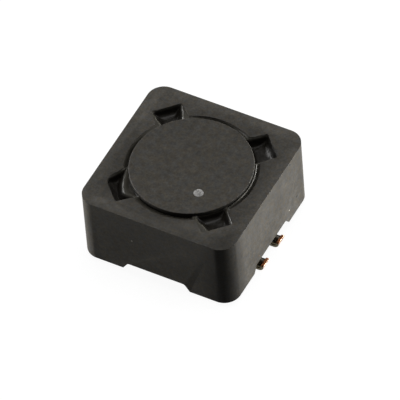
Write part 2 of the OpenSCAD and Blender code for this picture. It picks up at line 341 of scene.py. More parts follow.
def ferrite(name, seed, isShield):
    # Sintered ferrite, ground on its flats: dull dark grey, dense as stone, with soft warm and
    # cool patches, a fine speckle of grains and a few pits. Painted shade darkens the shield round
    # its front upright corner and faintly round the others, and painted shade darkens the drum's
    # upright side.
    look = ferriteLook
    material, tree, shader, place = newMaterial(name)
    shifted = addNode(tree, "ShaderNodeMapping", {"Location": (seed * mm, -seed * mm, seed * mm)},
                      {"Vector": place}).outputs["Vector"]
    cloud = addNode(tree, "ShaderNodeTexNoise", {"Scale": 1 / (look["cloud"] * mm), "Detail": 2.0},
                    {"Vector": shifted}).outputs["Fac"]
    mottle = addNode(tree, "ShaderNodeTexNoise", {
        "Scale": 1 / (look["mottle"] * mm), "Detail": 3.0, "Roughness": 0.6},
        {"Vector": shifted}).outputs["Fac"]
    hue = addNode(tree, "ShaderNodeTexNoise", {"Scale": 1 / (look["hue"] * mm), "Detail": 1.0},
                  {"Vector": place}).outputs["Fac"]
    grit = addNode(tree, "ShaderNodeTexNoise", {
        "Scale": 1 / (look["grit"] * mm), "Detail": 2.0, "Roughness": 0.7},
        {"Vector": shifted}).outputs["Fac"]
    bands = ((cloud, 0.3, grey(0.90), 0.7, grey(1.10)),
             (mottle, 0.3, grey(0.80), 0.7, grey(1.20)),
             (hue, 0.34, (0.96, 1.0, 1.07, 1), 0.66, (1.05, 1.0, 0.92, 1)),
             (grit, 0.3, grey(0.84), 0.7, grey(1.16)))
    tone = addNode(tree, "ShaderNodeRGB")
    tone.outputs[0].default_value = hexColour(look["tone" if isShield else "drumTone"])
    tone = tone.outputs[0]
    for source, low, dark, high, light in bands:
        ramp = addNode(tree, "ShaderNodeValToRGB", {"stops": ((low, dark), (high, light))},
                       {"Fac": source}).outputs["Color"]
        tone = addNode(tree, "ShaderNodeMix", {"data_type": "RGBA", "blend_type": "MULTIPLY", 0: 1.0},
                       {6: tone, 7: ramp}).outputs[2]
    normal = addNode(tree, "ShaderNodeTexCoord").outputs["Normal"]
    up = addNode(tree, "ShaderNodeSeparateXYZ", None, {"Vector": normal}).outputs[2]
    # painted shade, stronger on upright faces than on the top; on the drum it darkens only the
    # upright side
    side, top = (look["cornerShadeSide"], look["cornerShadeTop"]) if isShield else (look["drumSideShade"], 0.0)
    dark = addNode(tree, "ShaderNodeMapRange", {"From Min": 0.2, "From Max": 0.9, "To Min": side,
                                                "To Max": top}, {"Value": up}).outputs[0]
    if isShield:
        # painted shade round the front upright corner, and a fainter painted shade round the other
        # corners
        x, y, z = addNode(tree, "ShaderNodeSeparateXYZ", None, {"Vector": place}).outputs
        flat = addNode(tree, "ShaderNodeCombineXYZ", None, {0: x, 1: y}).outputs[0]
        corner = Vector(look["cornerShade"] + (0,)) * mm
        away = addNode(tree, "ShaderNodeVectorMath", {"operation": "DISTANCE", 1: corner},
                       {0: flat}).outputs["Value"]
        start, end = look["cornerShadeReach"]
        near = addNode(tree, "ShaderNodeMapRange", {
            "interpolation_type": "SMOOTHSTEP", "From Min": start * mm, "From Max": end * mm,
            "To Min": 1.0, "To Max": 0.0}, {"Value": away}).outputs[0]
        cornerShade = addNode(tree, "ShaderNodeMath", {"operation": "MULTIPLY"},
                        {0: near, 1: dark}).outputs[0]
        outX = addNode(tree, "ShaderNodeMath", {"operation": "ABSOLUTE"}, {0: x}).outputs[0]
        outY = addNode(tree, "ShaderNodeMath", {"operation": "ABSOLUTE"}, {0: y}).outputs[0]
        least = addNode(tree, "ShaderNodeMath", {"operation": "MINIMUM"},
                        {0: outX, 1: outY}).outputs[0]
        start, end = look["faintShadeReach"]
        faintShade = addNode(tree, "ShaderNodeMapRange", {
            "interpolation_type": "SMOOTHSTEP", "From Min": start * mm, "From Max": end * mm,
            "To Max": look["faintShade"]}, {"Value": least}).outputs[0]
        dark = addNode(tree, "ShaderNodeMath", {"operation": "MAXIMUM"},
                       {0: cornerShade, 1: faintShade}).outputs[0]
    # the painted shade darkens the colour towards black
    tone = addNode(tree, "ShaderNodeMix", {"data_type": "RGBA", 7: grey(0.0)},
                   {0: dark, 6: tone}).outputs[2]
    if isShield:
        for spot, size, colour in look["pits"]:
            centre = Vector(spot) * mm
            away = addNode(tree, "ShaderNodeVectorMath", {"operation": "DISTANCE", 1: centre},
                           {0: place}).outputs["Value"]
            near = addNode(tree, "ShaderNodeMapRange", {
                "From Min": 0.3 * size * mm, "From Max": size * mm, "To Min": 1.0, "To Max": 0.0},
                {"Value": away}).outputs[0]
            tone = addNode(tree, "ShaderNodeMix", {"data_type": "RGBA", 7: hexColour(colour)},
                           {0: near, 6: tone}).outputs[2]
    tree.links.new(tone, shader.inputs["Base Color"])
    rough = addNode(tree, "ShaderNodeMapRange", {"From Min": 0.3, "From Max": 0.7, "To Min": 0.48,
                                                 "To Max": 0.66}, {"Value": mottle}).outputs[0]
    tree.links.new(rough, shader.inputs["Roughness"])
    shader.inputs["Specular IOR Level"].default_value = 0.03
    coarse = addNode(tree, "ShaderNodeBump", {"Distance": 0.006 * mm, "Strength": 0.5},
                     {"Height": mottle}).outputs["Normal"]
    fine = addNode(tree, "ShaderNodeBump", {"Distance": 0.003 * mm, "Strength": 0.6},
                   {"Height": grit, "Normal": coarse}).outputs["Normal"]
    tree.links.new(fine, shader.inputs["Normal"])
    return material


shieldFerrite = ferrite("sintered_ferrite_shield", 12.0, True)
drumFerrite = ferrite("sintered_ferrite_drum", 11.0, False)

ringGap = 0.4          # between the drum and the bore of the shield
shieldShape = {
    "corner": 1.28, "bore": drumRadius + ringGap, "edge": 0.06,
    # the glue pockets: how far they reach from the middle, where their outline starts inside
    # the bore, how much they widen at their mouth, and the side of one that is worn wider
    "pocketReach": 6.2, "pocketStart": 3.9, "pocketWidth": 2.4, "flare": 0.06, "round": 0.15,
    "wornPocket": 2, "wornFlare": 0.4, "wornRound": 0.6, "lip": 0.33,
    "notchHeight": 0.62, "notchWidth": 4.65, "notchSlope": 0.42, "notchRound": 0.12,
    "footRound": 0.18,
}


def isWorn(k, side):
    return k == shieldShape["wornPocket"] and side < 0


def mouthHalf(k, side):
    # half width of pocket k where its +1 or -1 side meets the bore
    s = shieldShape
    return s["pocketWidth"] / 2 + (s["wornFlare"] if isWorn(k, side) else s["flare"])


def pocketHalf(k, side, u):
    # half width of pocket k on its +1 or -1 side, at distance u from the middle of the part
    s = shieldShape
    half = s["pocketWidth"] / 2
    flare = mouthHalf(k, side) - half
    mouth = math.sqrt(s["bore"] ** 2 - (half + flare) ** 2)
    return half + flare * (s["pocketReach"] - u) / (s["pocketReach"] - mouth)


def pocketTool(k):
    # one glue pocket as a solid, a little wider at the bore than at its end wall
    s = shieldShape
    start, end, half = s["pocketStart"], s["pocketReach"], s["pocketWidth"] / 2
    tool = addBlock("pocketTool", (start, -half, footZ - 1), (end, half, shieldTop + 1))
    edit(tool)
    for side in (1, -1):
        choose("VERT", lambda v: v.co.x < start + 0.1 and v.co.y * side > 0)
        bpy.ops.transform.translate(value=(0, side * (pocketHalf(k, side, start) - half), 0))
        choose("EDGE", lambda e: along(e, 2) and middle(e).x > end - 0.1
               and middle(e).y * side > half * 0.9)
        bpy.ops.mesh.bevel(offset=s["wornRound" if isWorn(k, side) else "round"], segments=6,
                           affect="EDGES")
    endEdit()
    return turned(tool, 45 + 90 * k)


def notchTool():
    # the opening under two opposite sides: upright below the feet, leaning in above them
    s = shieldShape
    foot = s["notchWidth"] / 2 + s["notchSlope"]
    tool = addBlock("notchTool", (-shieldWidth, -foot, footZ - 1),
                    (shieldWidth, foot, footZ + s["notchHeight"]))
    edit(tool)
    selectAll()
    bpy.ops.mesh.bisect(plane_co=(0, 0, footZ), plane_no=(0, 0, 1))
    choose("VERT", lambda v: v.co.z > footZ + 0.1)
    bpy.ops.transform.resize(value=(1, s["notchWidth"] / 2 / foot, 1), center_override=(0, 0, 0))
    choose("EDGE", lambda e: along(e, 0) and middle(e).z > footZ + 0.1)
    bpy.ops.mesh.bevel(offset=s["notchRound"], segments=4, affect="EDGES")
    endEdit()
    return tool


def makeShield():
    s = shieldShape
    piece = addBlock("shieldBody", shieldLow, shieldHigh)
    edit(piece)
    choose("EDGE", lambda e: along(e, 2))
    bpy.ops.mesh.bevel(offset=s["corner"], segments=16, affect="EDGES")
    endEdit()
    cut(piece, [addRound("boreTool", s["bore"], footZ - 1, shieldTop + 1, 160)])
    cut(piece, [pocketTool(k) for k in range(4)])

    def onLip(e):
        p = middle(e)
        turn = abs(math.degrees(math.atan2(p.y, p.x)) % 90 - 45)
        onBore = along(e, 2) and abs(p.xy.length - s["bore"]) < 0.06
        return onBore and 13 < turn < 21 and e.calc_face_angle(0) > 0.6

    edit(piece)
    choose("EDGE", onLip)
    bpy.ops.mesh.bevel(offset=s["lip"], segments=6, affect="EDGES")
    endEdit()
    notch = notchTool()
    cut(piece, [copied(notch, "notchAcross", 90), notch])
    foot = s["notchWidth"] / 2 + s["notchSlope"]

    def onFoot(e):
        p = middle(e)
        return abs(p.z - footZ) < 0.01 and any(
            along(e, i) and abs(abs(p[1 - i]) - foot) < 0.02 for i in (0, 1))

    edit(piece)
    choose("EDGE", onFoot)
    bpy.ops.mesh.bevel(offset=s["footRound"], segments=4, affect="EDGES")
    endEdit()
    softenEdges(piece, s["edge"])
    evenShading(piece)
    toFrame(piece, [shieldFerrite], "shield_core")


makeShield()
print("shield modelled")

# thickness, play in a slot, space to the bore, and where the coat is burnt off the ends, which carry
# painted shade
wireShape = {"thick": 0.4, "play": 0.06, "runFit": 0.08, "bare": (5.75, 5.95)}
drumShape = {"post": 2.5, "upperFlange": 1.0, "lowerFlange": 0.9, "rim": 0.05, "edge": 0.02}
leads = []             # side and place along the row, for terminals 1 to 4
for k in range(4):
    low, high = boxMm("terminal_%d" % (k + 1))
    leads.append((1 if high.x > 0 else -1, (low.y + high.y) / 2))
farRow = max(abs(y) for side, y in leads)
leadCircle = shieldShape["bore"] - wireShape["runFit"] - wireShape["thick"] / 2
leadX = math.sqrt(leadCircle ** 2 - farRow ** 2)


def slotTools(low, high):
    # the slots that let the wires down, open outwards, as solids
    half = wireShape["thick"] / 2 + wireShape["play"]
    tool = addBlock("slotTool", (leadX - half, -half, low), (leadX + 2, half, high))
    edit(tool)
    choose("EDGE", lambda e: along(e, 2) and middle(e).x < leadX)
    bpy.ops.mesh.bevel(offset=half * 0.95, segments=5, affect="EDGES")
    endEdit()
    tools = [copied(tool, "slot", 0 if side > 0 else 180, (0, y, 0)) for side, y in leads]
    bpy.data.objects.remove(tool, do_unlink=True)
    return tools


def makeDrum():
    s = drumShape
    low, high = drumLow.z, drumTop
    lowerTop, upperLow = low + s["lowerFlange"], high - s["upperFlange"]
    piece = addRound("drumBody", drumRadius, low, lowerTop, 144)
    edit(piece)
    # the post and the upper flange are drawn out of the lower flange's face
    choose("FACE", lambda f: f.normal.z > 0.9)
    bpy.ops.mesh.inset(thickness=drumRadius - s["post"])
    drawOut(0, 0, upperLow - lowerTop)
    drawOut(0, 0, 0)
    outward = drumRadius / s["post"]
    bpy.ops.transform.resize(value=(outward, outward, 1), center_override=(0, 0, 0))
    drawOut(0, 0, s["upperFlange"])
    weld()

    def onRim(e):
        return not along(e, 2) and all(abs(v.co.xy.length - drumRadius) < 0.01 for v in e.verts)

    choose("EDGE", onRim)
    bpy.ops.mesh.bevel(offset=s["rim"], segments=4, affect="EDGES")
    endEdit()
    cut(piece, slotTools(low - 1, lowerTop + 0.5))
    softenEdges(piece, s["edge"], 2, 28)
    evenShading(piece)
    toFrame(piece, [drumFerrite], "drum_core")


makeDrum()
print("drum modelled")


def phenolic(name):
    # Moulded phenolic: near-black brown, dull, with the faint orange peel of its mould.
    material, tree, shader, place = newMaterial(name)
    peel = addNode(tree, "ShaderNodeTexNoise", {"Scale": 1 / (0.3 * mm), "Detail": 3.0},
                   {"Vector": place}).outputs["Fac"]
    filler = addNode(tree, "ShaderNodeTexNoise", {"Scale": 1 / (0.12 * mm), "Detail": 2.0},
                     {"Vector": place}).outputs["Fac"]
    tone = addNode(tree, "ShaderNodeValToRGB", {
        "stops": ((0.3, hexColour("#211f1c")), (0.7, hexColour("#35312d")))},
        {"Fac": filler}).outputs["Color"]
    tree.links.new(tone, shader.inputs["Base Color"])
    rough = addNode(tree, "ShaderNodeMapRange", {"To Min": 0.42, "To Max": 0.66},
                    {"Value": peel}).outputs["Result"]
    tree.links.new(rough, shader.inputs["Roughness"])
    bump = addNode(tree, "ShaderNodeBump", {"Distance": 0.015 * mm, "Strength": 0.6},
                   {"Height": peel}).outputs["Normal"]
    tree.links.new(bump, shader.inputs["Normal"])
    return material


basePhenolic = phenolic("moulded_phenolic")
stripShape = {
    "thick": 0.22, "curl": 0.48, "leg": 3.4, "play": 0.02, "edge": 0.035, "corner": 0.2,
    "curlSteps": 12,
    # how far the tips stay inside the frame's own strips, outwards and upwards
    "short": 0.22, "lower": 0.06,
}
baseShape = {"armTop": 0.4, "armWidth": 4.3, "edge": 0.04, "armRound": 0.25}
stripLow, stripHigh = boxMm("terminal_1")
stripHalf = (stripHigh.y - stripLow.y) / 2
stripReach = max(stripHigh.x, -stripLow.x) - stripShape["short"]
stripTip = stripHigh.z - stripShape["lower"]


def makeBase():
    # a disc under the drum with an arm through each row's notch, and grooves for the strips
    s, t = baseShape, stripShape
    piece = addRound("baseBody", baseHigh.y, baseLow.z, baseHigh.z, 144)
    armEnd, armHalf = baseHigh.x - t["short"], s["armWidth"] / 2
    arms = addBlock("arms", (-armEnd, -armHalf, baseLow.z), (armEnd, armHalf, s["armTop"]))
    edit(arms)
    choose("EDGE", lambda e: along(e, 2))
    bpy.ops.mesh.bevel(offset=s["armRound"], segments=5, affect="EDGES")
    endEdit()
    cut(piece, [arms], "UNION")
    cut(piece, slotTools(s["armTop"], baseHigh.z + 1))
    half = stripHalf + t["play"]
    inner, outer = t["leg"] - t["play"], t["leg"] + t["thick"] + t["play"]
    under = baseLow.z - 1
    for side, y in leads:
        groove = addBlock("groove", (inner, -half, under), (shieldWidth, half, t["thick"]))
        slot = addBlock("legSlot", (inner, -half, under), (outer, half, stripTip + t["play"]))
        cut(piece, [turned(tool, 0 if side > 0 else 180, (0, y, 0)) for tool in (groove, slot)])
    softenEdges(piece, s["edge"], 2)
    evenShading(piece)
    toFrame(piece, [basePhenolic], "base_plate")


makeBase()
print("base modelled")


def tinnedCopper(name):
    # Tin-plated copper strip: thin tin that the copper warms, satin, with cloudy patches and
    # fine rolling lines.
    material, tree, shader, place = newMaterial(name)
    cloud = addNode(tree, "ShaderNodeTexNoise", {"Scale": 1 / (0.3 * mm), "Detail": 3.0},
                    {"Vector": place}).outputs["Fac"]
    tone = addNode(tree, "ShaderNodeValToRGB", {
        "stops": ((0.35, hexColour("#8a6a52")), (0.6, hexColour("#d2b29c")))},
        {"Fac": cloud}).outputs["Color"]
    tree.links.new(tone, shader.inputs["Base Color"])
    shader.inputs["Metallic"].default_value = 1.0
    rough = addNode(tree, "ShaderNodeMapRange", {"To Min": 0.22, "To Max": 0.42},
                    {"Value": cloud}).outputs["Result"]
    tree.links.new(rough, shader.inputs["Roughness"])
    rolled = addNode(tree, "ShaderNodeMapping", {"Scale": (0.15, 1.0, 0.15)},
                     {"Vector": place}).outputs["Vector"]
    lines = addNode(tree, "ShaderNodeTexNoise", {"Scale": 1 / (0.05 * mm), "Detail": 2.0},
                    {"Vector": rolled}).outputs["Fac"]
    bump = addNode(tree, "ShaderNodeBump", {"Distance": 0.004 * mm, "Strength": 0.5},
                   {"Height": lines}).outputs["Normal"]
    tree.links.new(bump, shader.inputs["Normal"])
    return material


def shearedMetal(name, dark, light):
    # The cut faces of the strip, torn in lines across its thickness and dulled by oxide: red-brown
    # copper at the tip, and copper smeared with tin along the sides, kept dark there also as painted
    # shade.
    material, tree, shader, place = newMaterial(name)
    torn = addNode(tree, "ShaderNodeTexNoise", {"Scale": 1 / (0.1 * mm), "Detail": 3.0},
                   {"Vector": place}).outputs["Fac"]
    tone = addNode(tree, "ShaderNodeValToRGB", {
        "stops": ((0.35, hexColour(dark)), (0.65, hexColour(light)))},
        {"Fac": torn}).outputs["Color"]
    tree.links.new(tone, shader.inputs["Base Color"])
    shader.inputs["Metallic"].default_value = 1.0
    shader.inputs["Roughness"].default_value = 0.45
    bump = addNode(tree, "ShaderNodeBump", {"Distance": 0.012 * mm, "Strength": 0.8},
                   {"Height": torn}).outputs["Normal"]
    tree.links.new(bump, shader.inputs["Normal"])
    return material


stripTin = tinnedCopper("tinned_copper")
tipCopper = shearedMetal("sheared_copper", "#38231a", "#96603c")
sideSmearShade = shearedMetal("tin_smeared_copper", "#3a362b", "#68614d")


def makeStrip():
    # one strip on the +X side, in the middle: leg, flat run and upward curl
    t = stripShape
    start, legEnd = stripReach - t["curl"], t["leg"] + t["thick"]
    piece = addBlock("strip", (t["leg"], -stripHalf, 0), (start, stripHalf, t["thick"]))
    edit(piece)
    choose("FACE", lambda f: f.normal.x > 0.9)
    bpy.ops.mesh.spin(steps=t["curlSteps"], angle=math.pi / 2, center=(start, 0, t["curl"]),
                      axis=(0, 1, 0))
    choose("FACE", lambda f: f.normal.z > 0.9 and f.calc_center_median().z > t["curl"] - 0.02)
    drawOut(0, 0, stripTip - t["curl"])
    selectAll()
    bpy.ops.mesh.bisect(plane_co=(legEnd, 0, 0), plane_no=(1, 0, 0))
    choose("FACE", lambda f: f.normal.z > 0.9 and f.calc_center_median().x < legEnd)
    drawOut(0, 0, stripTip - t["thick"])
    weld()
    choose("EDGE", lambda e: along(e, 0) and middle(e).z > stripTip - 0.01 and middle(e).x > start)
    bpy.ops.mesh.bevel(offset=t["corner"], segments=5, affect="EDGES")
    endEdit()
    softenEdges(piece, t["edge"], 2)
    # the side faces take the dark smeared colour: sheared copper and tin, partly painted shade
    for face in piece.data.polygons:
        atTip = face.normal.z > 0.6 and face.center.z > stripTip - t["corner"]
        face.material_index = 1 if atTip else 2 if abs(face.normal.y) > 0.6 else 0
    evenShading(piece, 50)
    return piece


def tinSolder(name):
    # Tin solder: dark and slightly grainy with an olive cast, its darkness painted shade inside the
    # curl.
    material, tree, shader, place = newMaterial(name)
    cloud = addNode(tree, "ShaderNodeTexNoise", {"Scale": 1 / (0.2 * mm), "Detail": 3.0},
                    {"Vector": place}).outputs["Fac"]
    tone = addNode(tree, "ShaderNodeValToRGB", {
        "stops": ((0.3, hexColour("#15110a")), (0.7, hexColour("#322c20")))},
        {"Fac": cloud}).outputs["Color"]
    tree.links.new(tone, shader.inputs["Base Color"])
    shader.inputs["Metallic"].default_value = 0.9
    shader.inputs["Roughness"].default_value = 0.42
    bump = addNode(tree, "ShaderNodeBump", {"Distance": 0.01 * mm, "Strength": 0.6},
                   {"Height": cloud}).outputs["Normal"]
    tree.links.new(bump, shader.inputs["Normal"])
    return material


shadedSolder = tinSolder("tin_solder")
solderShape = {
    "cells": 18, "level": 0.45, "side": 0.05, "below": 0.02, "grain": 0.012,
    # how far it runs past the frame's own solder, sinks at its sides and falls at its open end
    "past": 0.03, "sag": 0.05, "fall": 0.22, "fallLength": 0.15,
    # the rise over the wire, its half width and end, and the climb up the strip and its reach
    "wireRise": 0.15, "wireHalf": 0.2, "wireEnd": 0.12, "climb": 0.16, "climbReach": 0.06,
}


def makeSolder():
    # the solder that fills one curl: it climbs the strip and the wire and falls to its open end
    s, t = solderShape, stripShape
    low, high = boxMm("solder_1")
    back, front = (low.x, high.x) if high.x > 0 else (-high.x, -low.x)
    half = stripHalf - s["side"]
    front += s["past"] - t["short"]
    back -= t["short"]
    piece = addSlab("fillet", s["cells"])
    edit(piece)
    weld()
    endEdit()
    bend = stripReach - t["curl"]
    inner = t["curl"] - t["thick"] + 0.01
    for vertex in piece.data.vertices:
        x = back + (vertex.co.x + 0.5) * (front - back)
        y = vertex.co.y * 2 * half
        floorZ = t["curl"] - math.sqrt(max(0.0, inner ** 2 - max(0.0, x - bend) ** 2))
        if vertex.co.z < -0.5:
            z = min(floorZ, t["curl"])
        else:
            wire = s["wireRise"] * math.exp(-(y / s["wireHalf"]) ** 4)
            wire *= ease((front - s["wireEnd"] - x) / 0.1)
            climb = s["climb"] * math.exp(-max(0.0, front - x) / s["climbReach"])
            z = s["level"] + max(wire, climb) - s["sag"] * (y / half) ** 4
            z += s["grain"] * uneven((x, y, 0), 0.15)
            z -= s["fall"] * ease((back + s["fallLength"] - x) / s["fallLength"])
            z = max(floorZ, min(stripTip - s["below"], z))
        vertex.co = Vector((x, y, z))
    rounder(piece, 1)
    # the top of the solder takes the dark colour, painted shade; its sides take the smeared colour of
    # the strip's sides
    for face in piece.data.polygons:
        face.material_index = 1 if abs(face.normal.y) > 0.7 else 0
    return piece


def makeRows():
    # every terminal and its solder is a copy of the same two pieces
    strip, fillet = makeStrip(), makeSolder()
    for number, (side, y) in enumerate(leads, 1):
        turn = 0 if side > 0 else 180
        toFrame(copied(strip, "strip%d" % number, turn, (0, y, 0)),
                [stripTin, tipCopper, sideSmearShade], "terminal_%d" % number)
        toFrame(copied(fillet, "fillet%d" % number, turn, (0, y, 0)),
                [shadedSolder, sideSmearShade], "solder_%d" % number)
    for piece in (strip, fillet):
        bpy.data.objects.remove(piece, do_unlink=True)


makeRows()
print("terminals and solder modelled")


def enamelledCopper(name):
    # Polyester-enamelled wire: copper under a clear red-brown coat, glossy, with long streaks.
    # In the terminals the coat is burnt off, and the bare end is dull and coloured almost black,
    # painted shade inside the curl.
    material, tree, shader, place = newMaterial(name)
    cloud = addNode(tree, "ShaderNodeTexNoise", {"Scale": 1 / (0.6 * mm), "Detail": 2.0},
                    {"Vector": place}).outputs["Fac"]
    tone = addNode(tree, "ShaderNodeValToRGB", {
        "stops": ((0.3, hexColour("#7c3f22")), (0.7, hexColour("#b5673a")))},
        {"Fac": cloud}).outputs["Color"]
    x = addNode(tree, "ShaderNodeSeparateXYZ", None, {"Vector": place}).outputs[0]
    outward = addNode(tree, "ShaderNodeMath", {"operation": "ABSOLUTE"}, {0: x}).outputs[0]
    start, end = wireShape["bare"]
    bare = addNode(tree, "ShaderNodeMapRange", {"From Min": start * mm, "From Max": end * mm},
                   {"Value": outward}).outputs["Result"]
    # painted shade: the bare end's colour is almost black
    tone = addNode(tree, "ShaderNodeMix", {"data_type": "RGBA", 7: hexColour("#1c1811")},
                   {0: bare, 6: tone}).outputs[2]
    tree.links.new(tone, shader.inputs["Base Color"])
    coat = addNode(tree, "ShaderNodeMapRange", {"To Min": 0.6, "To Max": 0.0},
                   {"Value": bare}).outputs["Result"]
    tree.links.new(coat, shader.inputs["Coat Weight"])
    shader.inputs["Metallic"].default_value = 0.9
    rough = addNode(tree, "ShaderNodeMapRange", {"To Min": 0.32, "To Max": 0.7},
                    {"Value": bare}).outputs["Result"]
    tree.links.new(rough, shader.inputs["Roughness"])
    shader.inputs["Coat Roughness"].default_value = 0.12
    return material


wireEnamel = enamelledCopper("enamelled_copper")


def makeWinding(letter):
    # a copy of the frame's swept wire, welded and rounded to sixteen sides
    node = "winding_" + letter
    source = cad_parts[node]
    piece = source.copy()
    piece.data = source.data.copy()
    piece.name = piece.data.name = "wire" + letter.upper()
    bpy.context.collection.objects.link(piece)
    piece.parent = None
    piece.data.materials.clear()
    edit(piece)
    selectAll()
    bpy.ops.mesh.remove_doubles(threshold=0.002 * mm)
    widest = math.radians(60)
    bpy.ops.mesh.tris_convert_to_quads(face_threshold=widest, shape_threshold=widest)
    endEdit()
    rounder(piece, 1)
    standIn(piece, [wireEnamel], node)


for letter in "ab":
    makeWinding(letter)
print("windings modelled")

glueShape = {
    # depth of the underside, cells of the grid, how far it soaks past the walls, its top, the
    # start of a pocket's grid, and the depths over which its painted shade fades out to the brim
    "low": 2.6, "cells": 60, "wet": 0.02, "top": -0.07, "start": 4.55, "thin": (0.34, 0.10),
    # a pocket's glue spreads round the lips of its mouth: how far, from where, over what length
    "lip": 0.32, "lipFrom": 5.25, "lipLength": 0.55,
    # length of a side wall, share of the drum that is wetted, width of the step to the ring,
    # and size of the larger and the finer unevenness
    "wall": 1.3, "drumShare": 0.9, "step": 0.2, "waves": 0.03, "ripples": 0.008,
    # for each pocket: depth in the middle, how far and how high the glue climbs its end wall,
    # how far it climbs the drum, and for its two side walls the width filled to the brim at
    # the end, the middle and the mouth, with the reach of the curve beside it
    "pockets": (
        {"depth": 0.90, "end": (0.30, 0.75), "drum": 0.10,
         "fill": ((0, 0, 0, 0.14), (0, 0, 0.05, 0.16))},
        {"depth": 0.75, "end": (0.10, 0.90), "drum": 0.07,
         "fill": ((0, 0.12, 0.26, 0.34), (0, 0.14, 0.34, 0.34))},
        {"depth": 0.80, "end": (0.34, 0.90), "drum": 0.10,
         "fill": ((0, 0, 0, 0.16), (0, 0, 0, 0.16))},
        {"depth": 0.70, "end": (0.16, 0.80), "drum": 0.10,
         "fill": ((0, 0, 0, 0.34), (0.42, 0.28, 0.05, 0.36))}),
}
ringShape = {
    # degrees that a run covers and those between it and its pocket, steps round and across
    "reach": 29.5, "offset": 1.5, "steps": 40, "across": 13,
    # place and width of the crest beside the drum, reach and sharpness of the rise to the bore
    "crest": 0.2, "crestWidth": 0.36, "rise": 0.5, "sharp": 1.3,
    # round the gap: azimuth, depth in the middle, at the drum and at the bore
    "depths": (
        (-180, 0.55, 0.45, 0.08), (-158, 0.42, 0.36, 0.06), (-110, 0.27, 0.26, 0.03),
        (-64, 0.27, 0.27, 0.06), (-30, 0.36, 0.14, 0.16), (-12, 0.42, 0.0, 0.24),
        (28, 0.42, 0.0, 0.24), (64, 0.34, 0.12, 0.12), (88, 0.60, 0.34, 0.14),
        (106, 0.52, 0.30, 0.12), (120, 0.24, 0.10, 0.07), (152, 0.26, 0.12, 0.06),
        (180, 0.55, 0.45, 0.08)),
}
beadShape = {
    # middle and outer end of the crest, how fast it falls back to its left and right, its top,
    # the width of its rounded edge, and the hollow behind it
    "at": 0.35, "out": 5.24, "left": (0.86, 2.3), "right": (0.317, 1.45), "top": -0.10,
    "turn": 0.42, "hollow": 0.13, "hollowLength": 0.4,
}


def clearEpoxy(name):
    # Cured clear epoxy over dark ferrite: as grey as the ferrite at the brim, darkened with
    # painted shade to almost black brown in the deep pockets, and glossy, with soft glints on its
    # rounded edges.
    material, tree, shader, place = newMaterial(name)
    cloud = addNode(tree, "ShaderNodeTexNoise", {"Scale": 1 / (0.5 * mm), "Detail": 2.0},
                    {"Vector": place}).outputs["Fac"]
    deepShade = addNode(tree, "ShaderNodeValToRGB", {
        "stops": ((0.3, hexColour("#110f0c")), (0.7, hexColour("#1b1915")))},
        {"Fac": cloud}).outputs["Color"]
    # painted shade: the deeper the glue lies below the top, the darker it is coloured
    height = addNode(tree, "ShaderNodeSeparateXYZ", None, {"Vector": place}).outputs[2]
    start, end = ((shieldTop - depth) * mm for depth in glueShape["thin"])
    thin = addNode(tree, "ShaderNodeMapRange", {
        "interpolation_type": "SMOOTHSTEP", "From Min": start, "From Max": end},
        {"Value": height}).outputs["Result"]
    tone = addNode(tree, "ShaderNodeMix", {"data_type": "RGBA", 7: hexColour("#37352f")},
                   {0: thin, 6: deepShade}).outputs[2]
    tree.links.new(tone, shader.inputs["Base Color"])
    rough = addNode(tree, "ShaderNodeMapRange", {"To Min": 0.28, "To Max": 0.42},
                    {"Value": cloud}).outputs["Result"]
    tree.links.new(rough, shader.inputs["Roughness"])
    shader.inputs["Specular IOR Level"].default_value = 0.08
    bump = addNode(tree, "ShaderNodeBump", {"Distance": 0.02 * mm, "Strength": 0.4},
                   {"Height": cloud}).outputs["Normal"]
    tree.links.new(bump, shader.inputs["Normal"])
    return material


pocketEpoxy = clearEpoxy("clear_epoxy")


def beadHeight(u, t, depth):
    # a thick bead that leans on the drum and ends in a rounded crest across the pocket
    b = beadShape
    gain, power = b["left"] if t > b["at"] else b["right"]
    past = u - b["out"] + gain * abs(t - b["at"]) ** power
    if past > 0:
        return b["top"] - (depth + b["top"]) * (1 - math.exp(-(past / b["turn"]) ** 2))
    return b["top"] - b["hollow"] * ease(-past / b["hollowLength"])


def between(values, part):
    # runs smoothly through three values as part goes from 0 to 1
    if part < 0.5:
        return values[0] + (values[1] - values[0]) * ease(2 * part)
    return values[1] + (values[2] - values[1]) * ease(2 * part - 1)


def ringSurface(r, turn):
    # glue with a low crest beside the drum, which curves up again to the bore
    s, rows = ringShape, ringShape["depths"]
    azimuth = (math.degrees(turn) + 180) % 360 - 180
    first = max(i for i in range(len(rows) - 1) if rows[i][0] <= azimuth)
    here, after = rows[first], rows[first + 1]
    part = ease((azimuth - here[0]) / (after[0] - here[0]))
    depth, atDrum, atBore = (a + (b - a) * part for a, b in zip(here[1:], after[1:]))
    inside = (r - drumRadius) / (shieldShape["bore"] - drumRadius)
    crest = math.exp(-((inside - s["crest"]) / s["crestWidth"]) ** 2)
    rise = math.exp(-(max(0.0, 1 - inside) / s["rise"]) ** s["sharp"])
    return -depth + (depth - atDrum) * crest + (depth - atBore) * rise


